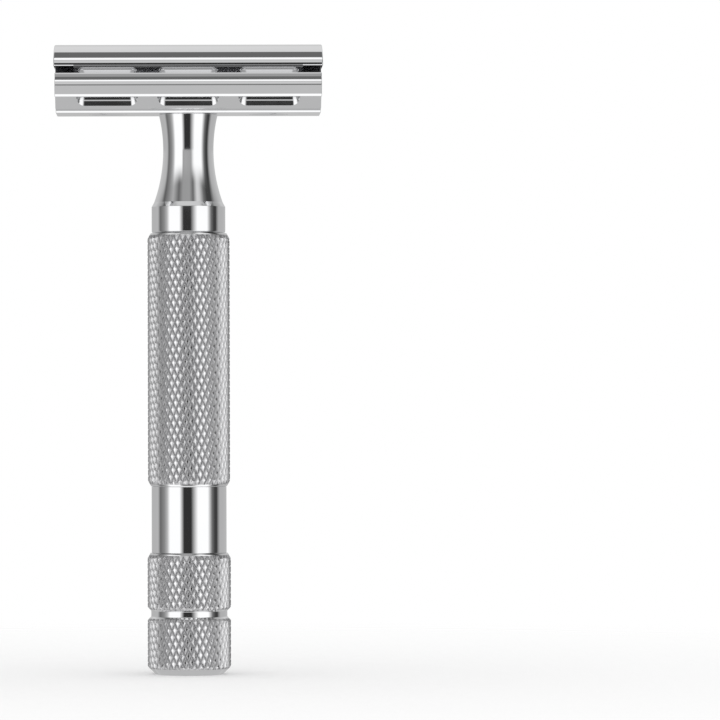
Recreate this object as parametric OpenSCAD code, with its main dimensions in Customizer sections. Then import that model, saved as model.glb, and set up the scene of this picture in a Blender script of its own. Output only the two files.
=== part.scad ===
// Three-piece double-edge safety razor with a reversible base plate, standing on its pommel.
// All sizes are in millimetres. The handle's axis is Z, the head's length runs along X,
// and z = 0 is the flat foot of the pommel.

/* [Pommel] */
// Diameter over the crests of the knurl
pommel_d = 13.6; // [12:0.1:16]
// Length of the pommel along the handle
pommel_len = 19.75; // [14:0.25:26]
// Chamfer round the foot
foot_chamfer = 1.3; // [0.5:0.1:2]
// Width of the polished groove where it meets the knurl
groove_w = 2.2; // [1.6:0.1:4]
// Depth of the polished groove
groove_depth = 0.6; // [0.3:0.05:1]
// Width of the groove's flat floor
groove_floor = 0.9; // [0.4:0.1:1.4]

/* [Plain band] */
// Diameter of the polished band between the pommel and the grip
band_d = 12.2; // [11:0.1:13]
// Length of the polished band
band_len = 10.9; // [6:0.1:16]

/* [Grip] */
// Diameter over the crests of the knurl
grip_d = 13.4; // [12:0.1:16]
// Length of the knurled grip
grip_len = 41.2; // [30:0.1:55]
// Chamfer at each end of a knurled length
knurl_chamfer = 0.6; // [0.3:0.05:1]

/* [Neck] */
// Diameter of the collar that covers the end of the grip
collar_d = 12.0; // [11:0.1:13]
// Length of the collar's straight part
collar_len = 4.3; // [3:0.1:6]
// Radial size of the bevel on top of the collar
collar_bevel = 0.4; // [0.2:0.05:0.8]
// Length of that bevel along the handle
collar_bevel_len = 0.75; // [0.5:0.05:1.5]
// Length of the neck from the collar to the seat of the base plate
neck_len = 15.1; // [12:0.1:18]
// Diameter of the neck at its waist
waist_d = 8.2; // [7.8:0.1:9]
// Distance of the waist below the seat
waist_below = 5.8; // [4:0.1:7]
// Diameter of the seat under the base plate
seat_d = 9.6; // [9.2:0.1:10]

/* [Core rod] */
// Diameter of the rod that ties the handle together
core_d = 6; // [5:0.1:7]
// How far the rod reaches into the pommel
core_in_pommel = 8; // [5:0.5:10]
// How far the rod reaches into the neck
core_in_neck = 5.5; // [4:0.5:7]
// Radial room round a piece that is pressed or screwed home
press_gap = 0.03; // [0.02:0.01:0.06]
// Room left at the blind end of a hole
end_gap = 0.2; // [0.1:0.05:0.4]

/* [Thread] */
// Diameter over the crests of the stud's thread
stud_d = 4.9; // [4.5:0.1:5.2]
// Rise of the thread in one turn
thread_pitch = 0.8; // [0.5:0.1:1]
// Turns of thread that hold the head on the handle
thread_turns = 10; // [7:1:11]
// Radial room of the stud in the handle's thread
thread_gap = 0.05; // [0.03:0.01:0.1]
// Depth of the handle's bore beyond the tip of the stud
bore_spare = 1.2; // [0.5:0.1:2]

/* [Blade] */
// Length of the blade over its tabs
blade_len = 43; // [42:0.1:44]
// Length of each end tab beyond the cutting edges
tab_len = 3; // [2.5:0.1:3.5]
// Width of the blade before it is bent
blade_w = 22; // [21.5:0.1:22.5]
// Thickness of the blade
blade_t = 0.1; // [0.08:0.01:0.12]
// Radius to which the head bends the blade
bend_r = 40; // [38:1:80]
// Width of each end tab
tab_w = 12.6; // [11:0.1:14]
// Corner radius of each end tab
tab_r = 1.8; // [1:0.1:2.5]
// Distance of the long cut-out from each end of the blade
cutout_end = 3.5; // [3.3:0.1:3.8]
// Width of the long cut-out at its waist
cutout_w = 2.1; // [1.6:0.1:2.6]
// Height of the lobes along the cut-out
lobe_h = 5.9; // [5.4:0.1:6.2]
// Width of the lobe at each end of the cut-out
end_lobe_w = 1.6; // [1.2:0.1:1.8]
// Width of the two inner lobes
inner_lobe_w = 1.3; // [1:0.1:1.6]
// Distance of the inner lobes from the posts
inner_lobe_from_post = 4.9; // [4.5:0.1:5.5]
// Room round the stud and the posts in the blade
blade_gap = 0.12; // [0.08:0.01:0.2]

/* [Base plate] */
// How much the blade stands out past each end of the plate
blade_past_plate = 0; // [0:0.05:0.5]
// Width of the plate over its two safety bars
plate_w = 26; // [25:0.1:28]
// Thickness of the plate over its spine
plate_t = 8.2; // [7.4:0.1:9]
// Width of the flat spine
spine_w = 10.1; // [9:0.1:11]
// Rounding of the spine's long edges
spine_r = 0.4; // [0.2:0.05:0.6]
// Depth of the ledge beside the spine
ledge_drop = 0.4; // [0.3:0.05:0.6]
// Further fall of the ledge to its outer edge
ledge_fall = 0.2; // [0.1:0.05:0.4]
// Distance of the ledge's outer edge from the middle
ledge_y = 7.1; // [6.6:0.1:7.4]
// Distance of the valley's crease from the middle
crease_y = 9.1; // [8.8:0.1:9.5]
// Thickness of the plate at the crease
crease_t = 2.7; // [2:0.1:3.2]
// Height of each safety bar above the middle of the plate
bar_up = 2; // [1.8:0.05:2.2]
// Radius of each safety bar's round face
bar_r = 3.1; // [2.9:0.05:3.4]
// Angle at which that face meets the flat below it
bar_turn = 22; // [18:1:26]
// Height of the foot of the ridge on each safety bar
ridge_foot = 1.35; // [1.2:0.05:1.5]
// How far the front of that ridge leans back
ridge_lean = 0.23; // [0.1:0.01:0.35]
// Depth of each safety bar below the middle of the plate
bar_low = 1.95; // [1.8:0.05:2.4]
// How far the bar's flat lower face leans in
bar_lean = 0.7; // [0.3:0.05:0.9]
// Chamfer under that face
bar_edge = 0.4; // [0.1:0.05:0.8]
// Width of the lather slots
slot_w = 3.2; // [2.6:0.1:3.8]
// Width of the ribs between the lather slots
slot_rib = 2.9; // [2:0.1:5]
// Corner radius of the lather slots
slot_r = 1.4; // [1:0.1:1.6]
// Chamfer at both mouths of the plate's holes
hole_chamfer = 0.5; // [0.2:0.05:0.8]

/* [Posts] */
// Diameter of the locating posts
post_d = 4.9; // [4.4:0.1:5]
// Distance of the posts from the ends of the blade
post_inset = 8.4; // [8.1:0.1:8.7]
// Radial room of the posts and the stud in the plate
post_gap = 0.3; // [0.2:0.05:0.5]
// Length of the posts below the cap, inside the plate
post_len = 6.9; // [5:0.1:7.2]
// Chamfer on the tips of the stud and the posts
tip_chamfer = 0.5; // [0.2:0.05:0.8]

/* [Cap] */
// How much the cap covers past each end of the blade
cap_past_blade = 0.25; // [0:0.05:1]
// Width over the cap's rounded long edges, before its underside is hollowed
cap_w = 20.8; // [20.4:0.1:21.4]
// Height of the cap's crown above the plate's spine
cap_h = 3.15; // [3:0.05:4]
// Radius of the crown across the head
crown_r = 23; // [20:1:40]
// Radius of the cap's long edges
cap_edge_r = 3.9; // [3:0.1:4.4]
// How far the stud and the posts are set into the cap
set_depth = 1.8; // [1.4:0.1:2]
// Room between the blade and each piece that grips it
grip_gap = 0.05; // [0.03:0.01:0.1]

/* [Hidden] */
$fn = 96;
// sides of the widest arcs
fine = 360;
// reach of a shape that cuts or keeps everything on one side
far = 2 * (pommel_len + band_len + grip_len + neck_len);
// how far a cutting shape runs past the face that it opens
over = 1;

pommel_r = pommel_d / 2;
band_r = band_d / 2;
grip_r = grip_d / 2;
collar_r = collar_d / 2;
core_r = core_d / 2;
stud_r = stud_d / 2;
post_r = post_d / 2;

// heights of the joints along the handle
band_z = pommel_len;
grip_z = band_z + band_len;
neck_z = grip_z + grip_len;
collar_top_z = neck_z + collar_len;
seat_z = collar_top_z + neck_len;

// the neck's two hollow curves meet at the waist
waist_r = waist_d / 2;
waist_z = seat_z - waist_below;
flare_r0 = collar_r - collar_bevel;
flare_z0 = collar_top_z + collar_bevel_len;
flare_h = waist_z - flare_z0;
flare_out = flare_r0 - waist_r;
flare_arc = (flare_h * flare_h + flare_out * flare_out) / (2 * flare_out);
seat_out = seat_d / 2 - waist_r;
seat_arc = (waist_below * waist_below + seat_out * seat_out) / (2 * seat_out);

// the head's lengths and the places along it follow the blade
edge_len = blade_len - 2 * tab_len;
cutout_reach = blade_len / 2 - cutout_end;
plate_len = blade_len - 2 * blade_past_plate;
cap_len = blade_len + 2 * cap_past_blade;
post_x = blade_len / 2 - post_inset;
inner_lobe_x = post_x - inner_lobe_from_post;
slot_pitch = post_x;
slot_len = slot_pitch - slot_rib;

// the head, measured from the middle of the plate
mid_z = seat_z + plate_t / 2;
half_t = plate_t / 2;
ledge_h = half_t - ledge_drop;
shoulder_h = ledge_h - ledge_fall;
bar_y = plate_w / 2;
bar_c_z = -bar_r * sin(bar_turn);
bar_c_y = bar_y - bar_r * cos(bar_turn);
foot_y = bar_c_y + sqrt(bar_r * bar_r - pow(ridge_foot - bar_c_z, 2));
hole_r = max(post_r, stud_r) + post_gap;
mouth_r = hole_r + hole_chamfer + over;

// the blade rests on the spine's two edges and bows up between them
rest_y = spine_w / 2 - spine_r;
bow = bend_r - sqrt(bend_r * bend_r - rest_y * rest_y);
blade_low = half_t + bow + grip_gap;
bend_z = blade_low - bend_r;
edge_y = bend_r * sin(blade_w / 2 / bend_r * 180 / PI);
under_r = bend_r + blade_t + grip_gap;
under_z = bend_z + under_r;

// the cap's crown trims the tops of its rounded long edges, which stand a hair proud of it
edge_trim = 0.01;
crown_z = half_t + cap_h;
edge_c_y = cap_w / 2 - cap_edge_r;
edge_arm = crown_r - cap_edge_r;
edge_c_z = crown_z - crown_r + sqrt(edge_arm * edge_arm - edge_c_y * edge_c_y);
crown_y = edge_c_y * crown_r / edge_arm;

lift = thread_pitch * thread_turns;
stud_tip_z = seat_z - lift;
bore_z = stud_tip_z - bore_spare;
set_z = mid_z + under_z + set_depth;

// a turned piece from its half section
module turned() {
    rotate_extrude() children();
}

// a section across the head, drawn in Y and Z from the middle of the plate, run along X
module along_head(length) {
    translate([-length / 2, 0, mid_z])
        rotate([90, 0, 90])
            linear_extrude(height = length) children();
}

// a rectangle with four round corners
module round_rect(x, y, r) {
    square([x, y - 2 * r], center = true);
    square([x - 2 * r, y], center = true);
    for (sx = [-1, 1], sy = [-1, 1])
        translate([sx * (x / 2 - r), sy * (y / 2 - r)]) circle(r);
}

// a pin pointing down from z1 to z0 with a chamfered tip
module pin(r, z0, z1) {
    turned()
        polygon([[0, z0], [r - tip_chamfer, z0], [r, z0 + tip_chamfer], [r, z1], [0, z1]]);
}

module pommel() {
    mid = pommel_len / 2;
    floor_r = pommel_r - groove_depth;
    color("silver")
        difference() {
            turned()
                polygon([
                    [0, 0],
                    [pommel_r - foot_chamfer, 0],
                    [pommel_r, foot_chamfer],
                    [pommel_r, mid - groove_w / 2],
                    [floor_r, mid - groove_floor / 2],
                    [floor_r, mid + groove_floor / 2],
                    [pommel_r, mid + groove_w / 2],
                    [pommel_r, pommel_len - knurl_chamfer],
                    [pommel_r - knurl_chamfer, pommel_len],
                    [0, pommel_len]
                ]);
            translate([0, 0, band_z - core_in_pommel - end_gap])
                cylinder(r = core_r + press_gap, h = core_in_pommel + end_gap + over);
        }
}

module plain_band() {
    color("gainsboro")
        translate([0, 0, band_z])
            difference() {
                cylinder(r = band_r, h = band_len);
                translate([0, 0, -over]) cylinder(r = core_r + press_gap, h = band_len + 2 * over);
            }
}

module grip_sleeve() {
    color("silver")
        translate([0, 0, grip_z])
            difference() {
                turned()
                    polygon([
                        [0, 0],
                        [grip_r - knurl_chamfer, 0],
                        [grip_r, knurl_chamfer],
                        [grip_r, grip_len - knurl_chamfer],
                        [grip_r - knurl_chamfer, grip_len],
                        [0, grip_len]
                    ]);
                translate([0, 0, -over]) cylinder(r = core_r + press_gap, h = grip_len + 2 * over);
            }
}

module neck_section() {
    difference() {
        polygon([
            [0, neck_z],
            [collar_r, neck_z],
            [collar_r, collar_top_z],
            [flare_r0, flare_z0],
            [flare_r0, seat_z],
            [0, seat_z]
        ]);
        intersection() {
            translate([waist_r + flare_arc, waist_z]) circle(flare_arc, $fn = fine);
            translate([0, flare_z0]) square([far, flare_h]);
        }
        intersection() {
            translate([waist_r + seat_arc, waist_z]) circle(seat_arc, $fn = fine);
            translate([0, waist_z]) square([far, waist_below + over]);
        }
    }
}

module neck() {
    color("gainsboro")
        difference() {
            turned() neck_section();
            translate([0, 0, bore_z]) cylinder(r = stud_r + thread_gap, h = far);
            translate([0, 0, neck_z - over])
                cylinder(r = core_r + press_gap, h = core_in_neck + end_gap + over);
        }
}

module handle_core() {
    color("goldenrod")
        translate([0, 0, band_z - core_in_pommel])
            cylinder(r = core_r, h = core_in_pommel + band_len + grip_len + core_in_neck);
}

// half of the plate's section: spine, ledges, valleys and one safety bar
module plate_half() {
    translate([0, -half_t + spine_r]) square([spine_w / 2, plate_t - 2 * spine_r]);
    translate([0, -half_t]) square([rest_y, plate_t]);
    for (s = [-1, 1])
        translate([rest_y, s * (half_t - spine_r)]) circle(spine_r);
    polygon([
        [0, -ledge_h],
        [spine_w / 2, -ledge_h],
        [ledge_y, -shoulder_h],
        [crease_y, -crease_t / 2],
        [bar_y - bar_lean - bar_edge, -bar_low],
        [bar_y - bar_lean * (bar_low - bar_edge) / bar_low, bar_edge - bar_low],
        [bar_y, 0],
        [foot_y, ridge_foot],
        [foot_y - ridge_lean, bar_up],
        [crease_y, crease_t / 2],
        [ledge_y, shoulder_h],
        [spine_w / 2, ledge_h],
        [0, ledge_h]
    ]);
    intersection() {
        translate([bar_c_y, bar_c_z]) circle(bar_r);
        translate([bar_c_y, 0]) square([far, ridge_foot]);
    }
}

module plate_section() {
    plate_half();
    mirror([1, 0]) plate_half();
}

module base_plate() {
    color("lightgray")
        difference() {
            along_head(plate_len) plate_section();
            for (i = [-1, 0, 1], s = [-1, 1])
                translate([i * slot_pitch, s * crease_y, seat_z - over])
                    linear_extrude(height = plate_t + 2 * over) round_rect(slot_len, slot_w, slot_r);
            for (x = [-post_x, 0, post_x])
                translate([x, 0, seat_z]) {
                    translate([0, 0, -over]) cylinder(r = hole_r, h = plate_t + 2 * over);
                    translate([0, 0, -over])
                        cylinder(r1 = mouth_r, r2 = hole_r, h = hole_chamfer + over);
                    translate([0, 0, plate_t - hole_chamfer])
                        cylinder(r1 = hole_r, r2 = mouth_r, h = hole_chamfer + over);
                }
        }
}

// the blade seen from above, with its standard cut-outs
module blade_outline() {
    difference() {
        union() {
            square([edge_len, far], center = true);
            round_rect(blade_len, tab_w, tab_r);
        }
        square([2 * cutout_reach, cutout_w], center = true);
        circle(stud_r + blade_gap);
        for (s = [-1, 1]) {
            translate([s * inner_lobe_x, 0]) square([inner_lobe_w, lobe_h], center = true);
            translate([s * (cutout_reach - end_lobe_w / 2), 0])
                square([end_lobe_w, lobe_h], center = true);
            intersection() {
                translate([s * post_x, 0])
                    rotate(45) square(2 * (post_r + blade_gap), center = true);
                square([far, lobe_h], center = true);
            }
        }
    }
}

module blade() {
    color("lightsteelblue")
        intersection() {
            along_head(blade_len)
                intersection() {
                    difference() {
                        translate([0, bend_z]) circle(bend_r + blade_t, $fn = fine);
                        translate([0, bend_z]) circle(bend_r, $fn = fine);
                    }
                    translate([-edge_y, 0]) square([2 * edge_y, far]);
                }
            translate([0, 0, seat_z])
                linear_extrude(height = plate_t + cap_h) blade_outline();
        }
}

module cap_section() {
    difference() {
        intersection() {
            translate([0, crown_z - crown_r]) circle(crown_r, $fn = fine);
            union() {
                square([2 * crown_y, far], center = true);
                for (s = [-1, 1])
                    translate([s * edge_c_y, edge_c_z + edge_trim]) circle(cap_edge_r);
            }
        }
        translate([0, bend_z]) circle(under_r, $fn = fine);
    }
}

module cap() {
    color("silver")
        difference() {
            along_head(cap_len) cap_section();
            for (p = [[0, stud_r], [-post_x, post_r], [post_x, post_r]])
                translate([p[0], 0, mid_z])
                    cylinder(r = p[1] + press_gap, h = set_z - mid_z + end_gap);
        }
}

module cap_stud() {
    color("darkgray") pin(stud_r, stud_tip_z, set_z);
}

module post_left() {
    color("darkgray")
        translate([-post_x, 0, 0]) pin(post_r, seat_z + plate_t - post_len, set_z);
}

module post_right() {
    color("darkgray")
        translate([post_x, 0, 0]) pin(post_r, seat_z + plate_t - post_len, set_z);
}

pommel();
plain_band();
grip_sleeve();
neck();
handle_core();
base_plate();
blade();
cap();
cap_stud();
post_left();
post_right();
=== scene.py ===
# %% [markdown]
# # A chrome safety razor, piece by piece
# The razor stands on its pommel: a knurled handle below, and above it a head made of a cap,
# a blade and a slotted base plate. The measured solids are loaded first, because they fix
# where every piece goes. What is left to do here is the shape of the edges and the shine.

import math

import bpy
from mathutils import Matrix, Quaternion, Vector


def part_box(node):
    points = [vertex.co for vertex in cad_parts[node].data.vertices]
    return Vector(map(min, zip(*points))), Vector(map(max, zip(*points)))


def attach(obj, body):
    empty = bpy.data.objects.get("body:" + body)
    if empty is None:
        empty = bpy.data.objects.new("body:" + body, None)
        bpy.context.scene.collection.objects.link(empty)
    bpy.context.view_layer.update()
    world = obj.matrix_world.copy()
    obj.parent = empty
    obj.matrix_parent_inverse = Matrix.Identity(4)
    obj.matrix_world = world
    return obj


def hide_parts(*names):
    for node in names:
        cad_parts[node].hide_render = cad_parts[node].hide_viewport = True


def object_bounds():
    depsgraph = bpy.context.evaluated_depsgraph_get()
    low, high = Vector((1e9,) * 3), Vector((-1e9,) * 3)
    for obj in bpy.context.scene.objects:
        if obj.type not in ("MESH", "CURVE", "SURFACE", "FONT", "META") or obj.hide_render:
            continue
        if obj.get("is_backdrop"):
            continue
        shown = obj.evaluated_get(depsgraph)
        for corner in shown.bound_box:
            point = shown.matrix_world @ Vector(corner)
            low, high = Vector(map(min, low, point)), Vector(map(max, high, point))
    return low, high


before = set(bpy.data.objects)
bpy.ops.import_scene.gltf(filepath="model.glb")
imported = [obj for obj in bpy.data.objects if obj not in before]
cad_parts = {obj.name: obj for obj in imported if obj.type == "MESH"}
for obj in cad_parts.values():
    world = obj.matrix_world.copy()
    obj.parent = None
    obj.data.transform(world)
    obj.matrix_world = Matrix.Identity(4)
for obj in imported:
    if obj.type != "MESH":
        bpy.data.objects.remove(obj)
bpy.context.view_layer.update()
print("measured pieces:", ", ".join(sorted(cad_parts)))


# %% [markdown]
# A razor is full of tenths of a millimetre, and some modelling tools round off lengths that
# small when one unit is a metre. So each piece is modelled with one unit to the millimetre
# and shrunk a thousand times when it is done. The measured boxes are read in millimetres too.

# %% Read the places of the pieces in millimetres
def box_mm(node):
    low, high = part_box(node)
    return [1000 * v for v in low], [1000 * v for v in high]


pommel_top = box_mm("pommel")[1][2]
band_top = box_mm("plain_band")[1][2]
grip_top = box_mm("grip_sleeve")[1][2]
seat_z = box_mm("neck")[1][2]
plate_top = box_mm("base_plate")[1][2]
mid_z = (seat_z + plate_top) / 2
print("joints along the handle:", [round(z, 2) for z in (pommel_top, band_top, grip_top, seat_z)])


# %% [markdown]
# ## Finishes
# Polished chrome is nearly a mirror, so its look comes from what it reflects. Its own detail
# is slight: a faint cloudiness where fingers have been, and hair-fine wipe marks. Both are
# noise on Object coordinates, one driving the roughness and one a very weak bump.

# %% Helpers for building a finish
def new_finish(name):
    finish = bpy.data.materials.new(name)
    finish.use_nodes = True
    nodes = finish.node_tree.nodes
    nodes.clear()
    out = nodes.new("ShaderNodeOutputMaterial")
    metal = nodes.new("ShaderNodeBsdfPrincipled")
    metal.inputs["Metallic"].default_value = 1.0
    finish.node_tree.links.new(metal.outputs[0], out.inputs[0])
    return finish, metal


def add_node(finish, kind, **values):
    node = finish.node_tree.nodes.new(kind)
    for key, value in values.items():
        setattr(node, key, value)
    return node


def join_sockets(finish, start, end):
    finish.node_tree.links.new(start, end)


def noise_on(finish, scale, stretch=(1, 1, 1), detail=3.0):
    place = add_node(finish, "ShaderNodeTexCoord")
    turn = add_node(finish, "ShaderNodeMapping")
    turn.inputs["Scale"].default_value = stretch
    noise = add_node(finish, "ShaderNodeTexNoise")
    noise.inputs["Scale"].default_value = scale
    noise.inputs["Detail"].default_value = detail
    join_sockets(finish, place.outputs["Object"], turn.inputs[0])
    join_sockets(finish, turn.outputs[0], noise.inputs["Vector"])
    return noise.outputs["Fac"]


def spread(finish, source, low, high, start=0.3, stop=0.7):
    span = add_node(finish, "ShaderNodeMapRange")
    span.inputs["From Min"].default_value = start
    span.inputs["From Max"].default_value = stop
    span.inputs["To Min"].default_value = low
    span.inputs["To Max"].default_value = high
    join_sockets(finish, source, span.inputs["Value"])
    return span.outputs[0]


def shades(finish, source, dark, light):
    ramp = add_node(finish, "ShaderNodeValToRGB")
    ramp.color_ramp.elements[0].color = (*dark, 1)
    ramp.color_ramp.elements[1].color = (*light, 1)
    join_sockets(finish, source, ramp.inputs[0])
    return ramp.outputs["Color"]


def tint_and_dull(finish, metal, source, dark, light, low, high):
    join_sockets(finish, shades(finish, source, dark, light), metal.inputs["Base Color"])
    join_sockets(finish, spread(finish, source, low, high), metal.inputs["Roughness"])


def bump(finish, metal, source, strength, depth):
    relief = add_node(finish, "ShaderNodeBump")
    relief.inputs["Strength"].default_value = strength
    relief.inputs["Distance"].default_value = depth
    join_sockets(finish, source, relief.inputs["Height"])
    join_sockets(finish, relief.outputs[0], metal.inputs["Normal"])


# %% Mirror chrome
mirror_chrome, metal = new_finish("mirror_chrome")
clouds = noise_on(mirror_chrome, 130.0)
tint = shades(mirror_chrome, clouds, (0.77, 0.775, 0.785), (0.82, 0.82, 0.825))
join_sockets(mirror_chrome, tint, metal.inputs["Base Color"])
haze = spread(mirror_chrome, noise_on(mirror_chrome, 320.0, detail=5.0), 0.025, 0.065)
join_sockets(mirror_chrome, haze, metal.inputs["Roughness"])
wipes = noise_on(mirror_chrome, 900.0, stretch=(0.25, 1, 1.0))
bump(mirror_chrome, metal, wipes, 0.02, 0.00002)
print("finish made:", mirror_chrome.name)


# %% [markdown]
# The knurled lengths are chromed as well, but their valleys never get polished.
# How deep a point lies is simply its distance from the handle's axis, so the finish measures
# that distance from Object coordinates, dulls the metal towards the valleys and darkens its
# colour there, which is painted shade in the recesses of the knurl.

# %% Knurl chrome
grip_r = box_mm("grip_sleeve")[1][0]
pommel_r = box_mm("pommel")[1][0]
knurl_depth = 0.3
polished_top = 0.03


def knurl_finish(name, crest):
    finish, metal = new_finish(name)
    place = add_node(finish, "ShaderNodeTexCoord")
    flatten = add_node(finish, "ShaderNodeMapping")
    flatten.inputs["Scale"].default_value = (1, 1, 0)
    radius = add_node(finish, "ShaderNodeVectorMath", operation="LENGTH")
    join_sockets(finish, place.outputs["Object"], flatten.inputs[0])
    join_sockets(finish, flatten.outputs[0], radius.inputs[0])
    valley = (crest - knurl_depth) / 1000
    top = (crest - polished_top) / 1000
    level = spread(finish, radius.outputs["Value"], 0.0, 1.0, valley, top)
    # The colour darkens towards the valleys: painted shade in the recesses of the knurl.
    tint = shades(finish, level, (0.52, 0.52, 0.53), (0.82, 0.82, 0.83))
    join_sockets(finish, tint, metal.inputs["Base Color"])
    join_sockets(finish, spread(finish, level, 0.42, 0.06, 0.75, 1.0), metal.inputs["Roughness"])
    bump(finish, metal, noise_on(finish, 2600.0), 0.05, 0.00003)
    return finish


grip_chrome = knurl_finish("grip_chrome", grip_r)
pommel_chrome = knurl_finish("pommel_chrome", pommel_r)
print("finishes made:", grip_chrome.name, pommel_chrome.name)


# %% [markdown]
# The blade is thin rolled steel, ground along its edges. Rolling leaves fine streaks along
# its length, which is noise stretched along X. The ground strips along the two edges are a
# little brighter, and they are found by how far a point lies from the middle.

# %% Rolled steel
edge_y = box_mm("blade")[1][1]

rolled_steel, metal = new_finish("rolled_steel")
streaks = noise_on(rolled_steel, 500.0, stretch=(0.02, 1, 1), detail=6.0)
place = add_node(rolled_steel, "ShaderNodeTexCoord")
parts = add_node(rolled_steel, "ShaderNodeSeparateXYZ")
across = add_node(rolled_steel, "ShaderNodeMath", operation="ABSOLUTE")
join_sockets(rolled_steel, place.outputs["Object"], parts.inputs[0])
join_sockets(rolled_steel, parts.outputs["Y"], across.inputs[0])
grind_start = (edge_y - 0.75) / 1000
grind_stop = (edge_y - 0.6) / 1000
ground = spread(rolled_steel, across.outputs[0], 0.0, 1.0, grind_start, grind_stop)
tint = shades(rolled_steel, ground, (0.72, 0.72, 0.73), (0.76, 0.76, 0.77))
join_sockets(rolled_steel, tint, metal.inputs["Base Color"])
join_sockets(rolled_steel, spread(rolled_steel, streaks, 0.04, 0.09), metal.inputs["Roughness"])
bump(rolled_steel, metal, streaks, 0.02, 0.00001)
print("finish made:", rolled_steel.name)


# %% [markdown]
# The stud and the posts are turned steel, a shade darker than chrome, with fine tool marks
# round them: noise that is squeezed along Z. The rod inside the handle is drawn brass. It
# can't be seen, but it still gets its colour, because the part may be opened by someone.

# %% Turned steel and drawn brass
turned_steel, metal = new_finish("turned_steel")
rings = noise_on(turned_steel, 700.0, stretch=(0.1, 0.1, 4.0))
tint_and_dull(turned_steel, metal, rings, (0.60, 0.60, 0.61), (0.72, 0.72, 0.73), 0.12, 0.24)
bump(turned_steel, metal, rings, 0.06, 0.00003)

drawn_brass, metal = new_finish("drawn_brass")
drawn = noise_on(drawn_brass, 600.0, stretch=(1, 1, 0.03))
tint_and_dull(drawn_brass, metal, drawn, (0.66, 0.48, 0.22), (0.82, 0.64, 0.34), 0.22, 0.38)
bump(drawn_brass, metal, drawn, 0.1, 0.00004)
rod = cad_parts["handle_core"]
rod.data.materials.clear()
rod.data.materials.append(drawn_brass)
print("finishes made:", turned_steel.name, drawn_brass.name)


# %% [markdown]
# Not all of the head is a mirror. The hidden underside of the cap is greyer and duller than the
# mirror above it, and the plate's valleys lie between the two: their grey is painted shade under
# the cap and the blade. That matters: bright faces there would fill the gap over the bars. The
# flat ends of the cap and the plate are ground, so they scatter the light instead of vanishing
# in a white wall.

# %% Dull shaded, satin shaded and ground chrome
# A dark grey chrome: the grey is painted shade for the cap's hidden underside.
dull_shaded_chrome, metal = new_finish("dull_shaded_chrome")
grain = noise_on(dull_shaded_chrome, 900.0, detail=4.0)
tint_and_dull(dull_shaded_chrome, metal, grain, (0.26, 0.26, 0.27), (0.34, 0.34, 0.35), 0.25, 0.4)

# A mid grey chrome: the grey is painted shade for the plate's valleys under the blade.
satin_shaded_chrome, metal = new_finish("satin_shaded_chrome")
grain = noise_on(satin_shaded_chrome, 900.0, detail=4.0)
tint_and_dull(satin_shaded_chrome, metal, grain, (0.36, 0.36, 0.37), (0.42, 0.42, 0.43), 0.1, 0.2)

ground_chrome, metal = new_finish("ground_chrome")
lines = noise_on(ground_chrome, 900.0, stretch=(1, 0.05, 2.0), detail=4.0)
tint_and_dull(ground_chrome, metal, lines, (0.62, 0.62, 0.63), (0.70, 0.70, 0.71), 0.34, 0.44)
print("finishes made:", dull_shaded_chrome.name, satin_shaded_chrome.name, ground_chrome.name)


# %% [markdown]
# ## Ways of making a piece
# Two moves make almost the whole razor. A turned piece starts as a filled ring, which is
# extruded and widened again and again, as a lathe tool would follow its profile. A piece of
# the head is a section across the head, filled and pulled out along X. No real edge is sharp,
# so a profile's corner can carry a radius, and is swapped for a few points on a small arc.

# %% Round the corners of a profile
def arc(centre, radius, start, stop, steps):
    points = []
    for i in range(steps + 1):
        angle = math.radians(start + (stop - start) * i / steps)
        a = centre[0] + radius * math.cos(angle)
        b = centre[1] + radius * math.sin(angle)
        points.append((a, b, 0))
    return points


def round_corners(path, closed=True, steps=5):
    points = []
    for i, (a, b, radius) in enumerate(path):
        at_end = not closed and i in (0, len(path) - 1)
        if radius == 0 or at_end:
            points.append((a, b))
            continue
        corner = Vector((a, b))
        back = (Vector(path[i - 1][:2]) - corner).normalized()
        ahead = (Vector(path[(i + 1) % len(path)][:2]) - corner).normalized()
        half = back.angle(ahead) / 2
        middle = corner + (back + ahead).normalized() * radius / math.sin(half)
        start = corner + back * radius / math.tan(half) - middle
        stop = corner + ahead * radius / math.tan(half) - middle
        first = math.atan2(start.y, start.x)
        sweep = math.atan2(stop.y, stop.x) - first
        sweep = (sweep + math.pi) % math.tau - math.pi
        for k in range(steps + 1):
            angle = first + sweep * k / steps
            x = middle.x + radius * math.cos(angle)
            y = middle.y + radius * math.sin(angle)
            points.append((x, y))
    return points


# %% Turn a profile on the lathe
def turn_on_lathe(name, profile, tube=False, corners=144):
    radius, z = profile[0]
    fill = "NOTHING" if tube else "NGON"
    bpy.ops.object.select_all(action="DESELECT")
    bpy.ops.mesh.primitive_circle_add(
        vertices=corners, radius=radius, fill_type=fill, location=(0, 0, z)
    )
    piece = bpy.context.object
    piece.name = name
    bpy.ops.object.transform_apply(location=True)
    bpy.ops.object.mode_set(mode="EDIT")
    bpy.ops.mesh.select_all(action="SELECT")
    for next_radius, next_z in profile[1:]:
        bpy.ops.mesh.extrude_region_move(TRANSFORM_OT_translate={"value": (0, 0, next_z - z)})
        grow = next_radius / radius
        bpy.ops.transform.resize(value=(grow, grow, 1), center_override=(0, 0, next_z))
        radius, z = next_radius, next_z
    bpy.ops.mesh.select_all(action="SELECT")
    bpy.ops.mesh.remove_doubles(threshold=0.0005)
    bpy.ops.mesh.normals_make_consistent(inside=False)
    bpy.ops.object.mode_set(mode="OBJECT")
    return piece


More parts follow.
